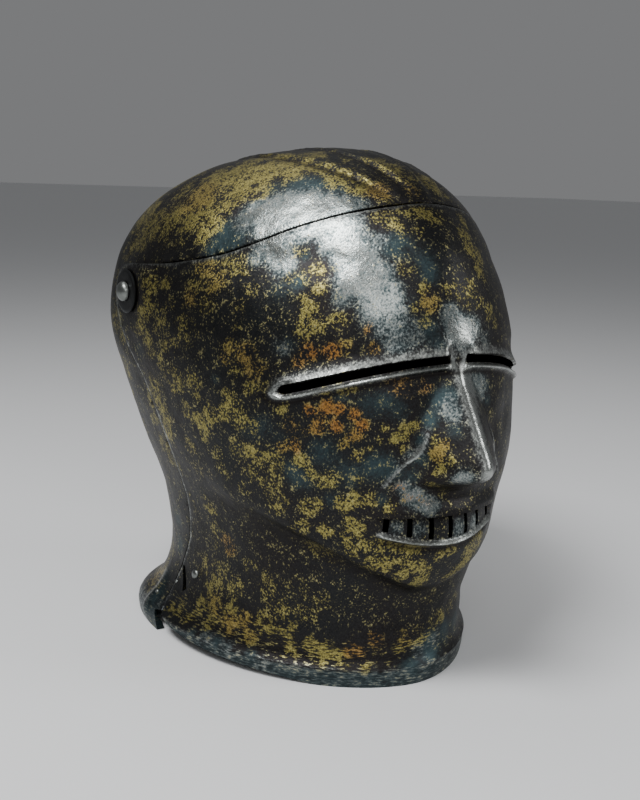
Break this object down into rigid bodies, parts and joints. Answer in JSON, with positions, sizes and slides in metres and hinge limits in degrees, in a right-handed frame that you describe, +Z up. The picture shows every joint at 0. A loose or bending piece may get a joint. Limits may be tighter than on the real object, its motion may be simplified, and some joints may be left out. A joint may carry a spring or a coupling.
{
  "type": "sallet helmet",
  "caption": "Closed steel sallet: a round ribbed skull with a flared tail, and a hinged mask visor with eye slits, a nose, a slotted mouth and a flanged neck.",
  "frame": {"origin": "on the floor, under the middle of the helmet's box", "axes": "+Z up through the crown, the face looks along -Y, the wearer's right is -X"},
  "size_m": [0.231, 0.2762, 0.2797],
  "materials": {
    "blackened_gilt_steel": "hammered steel, blackened, with worn remains of gilding and bare rubbed areas",
    "blackened_steel": "blackened steel",
    "worn_steel": "dark steel rubbed bright on top"
  },
  "bodies": {
    "helmet_skull": {"skull": "blackened_gilt_steel", "pivot_washer_right": "blackened_steel", "pivot_washer_left": "blackened_steel", "pivot_rivet_right": "worn_steel", "pivot_rivet_left": "worn_steel"},
    "visor": {"mask_visor": "blackened_gilt_steel", "lock_rivet_right": "worn_steel"}
  },
  "joints": [
    {"name": "visor_hinge", "type": "hinge", "parent": "helmet_skull", "child": "visor", "pos_m": [0, 0.046, 0.201], "axis": [-1, 0, 0], "range_deg": [0, 55]}
  ]
}
